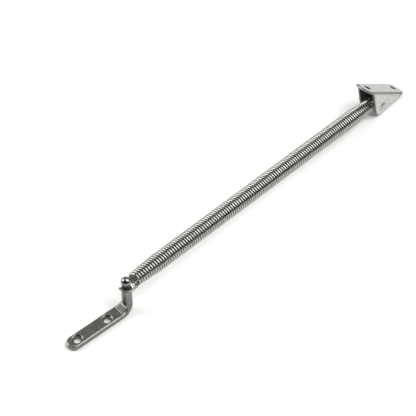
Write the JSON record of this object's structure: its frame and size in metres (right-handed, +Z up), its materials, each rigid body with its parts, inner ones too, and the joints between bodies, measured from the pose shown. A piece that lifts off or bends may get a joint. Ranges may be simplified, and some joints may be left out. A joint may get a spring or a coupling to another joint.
{
  "type": "hatch spring stay",
  "caption": "Close-wound tapered stay spring between a cranked foot with a ball stud and a riveted channel bracket, for a hatch or lid.",
  "frame": {"origin": "middle of the foot's two screw holes, on the foot's bottom face", "axes": "+X along the foot towards the channel bracket, +Z up out of the foot"},
  "size_m": [0.3628, 0.0435, 0.0379],
  "materials": {
    "cast_stainless": "tumbled",
    "polished_stainless": "polished",
    "spring_wire": "drawn",
    "satin_stainless": "satin",
    "rivet_stainless": "satin"
  },
  "bodies": {
    "foot": {"foot_bracket": "cast_stainless", "ball_stud": "polished_stainless"},
    "hook": {"spring_foot_hook": "spring_wire"},
    "coils_00": {"spring_foot_taper": "spring_wire"},
    "coils_01": {"spring_coils_01": "spring_wire"},
    "coils_02": {"spring_coils_02": "spring_wire"},
    "coils_03": {"spring_coils_03": "spring_wire"},
    "coils_04": {"spring_coils_04": "spring_wire"},
    "coils_05": {"spring_coils_05": "spring_wire"},
    "coils_06": {"spring_coils_06": "spring_wire"},
    "coils_07": {"spring_coils_07": "spring_wire"},
    "coils_08": {"spring_coils_08": "spring_wire"},
    "coils_09": {"spring_coils_09": "spring_wire"},
    "coils_10": {"spring_coils_10": "spring_wire"},
    "coils_11": {"spring_bracket_taper": "spring_wire", "spring_bracket_loop": "spring_wire"},
    "bracket": {"channel_bracket": "satin_stainless", "pivot_rivet": "rivet_stainless"}
  },
  "joints": [
    {"name": "swivel", "type": "hinge", "parent": "foot", "child": "hook", "pos_m": [0.03195, 0, 0.0273], "axis": [0, 0, 1], "continuous": true},
    {"name": "lift", "type": "hinge", "parent": "hook", "child": "coils_00", "pos_m": [0.03896, 0.00068, 0.02333], "axis": [0.0958, -0.9954, 0], "range_deg": [0, 18]},
    {"name": "bend_01", "type": "hinge", "parent": "coils_00", "child": "coils_01", "pos_m": [0.06068, 0.00277, 0.03205], "axis": [0.0958, -0.9954, 0], "range_deg": [0, 12], "stiffness_Nm_per_rad": 1.8},
    {"name": "bend_02", "type": "hinge", "parent": "coils_01", "child": "coils_02", "pos_m": [0.08256, 0.00487, 0.03055], "axis": [0.0958, -0.9954, 0], "range_deg": [0, 12]},
    {"name": "bend_03", "type": "hinge", "parent": "coils_02", "child": "coils_03", "pos_m": [0.10443, 0.00698, 0.02906], "axis": [0.0958, -0.9954, 0], "range_deg": [0, 12]},
    {"name": "bend_04", "type": "hinge", "parent": "coils_03", "child": "coils_04", "pos_m": [0.12631, 0.00909, 0.02756], "axis": [0.0958, -0.9954, 0], "range_deg": [0, 12]},
    {"name": "bend_05", "type": "hinge", "parent": "coils_04", "child": "coils_05", "pos_m": [0.14819, 0.01119, 0.02606], "axis": [0.0958, -0.9954, 0], "range_deg": [0, 12]},
    {"name": "bend_06", "type": "hinge", "parent": "coils_05", "child": "coils_06", "pos_m": [0.17006, 0.0133, 0.02457], "axis": [0.0958, -0.9954, 0], "range_deg": [0, 12]},
    {"name": "bend_07", "type": "hinge", "parent": "coils_06", "child": "coils_07", "pos_m": [0.19194, 0.01541, 0.02307], "axis": [0.0958, -0.9954, 0], "range_deg": [0, 12]},
    {"name": "bend_08", "type": "hinge", "parent": "coils_07", "child": "coils_08", "pos_m": [0.21382, 0.01751, 0.02157], "axis": [0.0958, -0.9954, 0], "range_deg": [0, 12]},
    {"name": "bend_09", "type": "hinge", "parent": "coils_08", "child": "coils_09", "pos_m": [0.23569, 0.01962, 0.02008], "axis": [0.0958, -0.9954, 0], "range_deg": [0, 12]},
    {"name": "bend_10", "type": "hinge", "parent": "coils_09", "child": "coils_10", "pos_m": [0.25757, 0.02173, 0.01858], "axis": [0.0958, -0.9954, 0], "range_deg": [0, 12]},
    {"name": "bend_11", "type": "hinge", "parent": "coils_10", "child": "coils_11", "pos_m": [0.27945, 0.02383, 0.01708], "axis": [0.0958, -0.9954, 0], "range_deg": [0, 12]},
    {"name": "pivot", "type": "hinge", "parent": "coils_11", "child": "bracket", "pos_m": [0.30967, 0.02674, 0.0083], "axis": [-0.0958, 0.9954, 0], "range_deg": [-31, 148]}
  ],
  "couplings": [
    {"joint": "bend_02", "follows": "bend_01", "ratio": 1},
    {"joint": "bend_03", "follows": "bend_01", "ratio": 1},
    {"joint": "bend_04", "follows": "bend_01", "ratio": 1},
    {"joint": "bend_05", "follows": "bend_01", "ratio": 1},
    {"joint": "bend_06", "follows": "bend_01", "ratio": 1},
    {"joint": "bend_07", "follows": "bend_01", "ratio": 1},
    {"joint": "bend_08", "follows": "bend_01", "ratio": 1},
    {"joint": "bend_09", "follows": "bend_01", "ratio": 1},
    {"joint": "bend_10", "follows": "bend_01", "ratio": 1},
    {"joint": "bend_11", "follows": "bend_01", "ratio": 1}
  ]
}
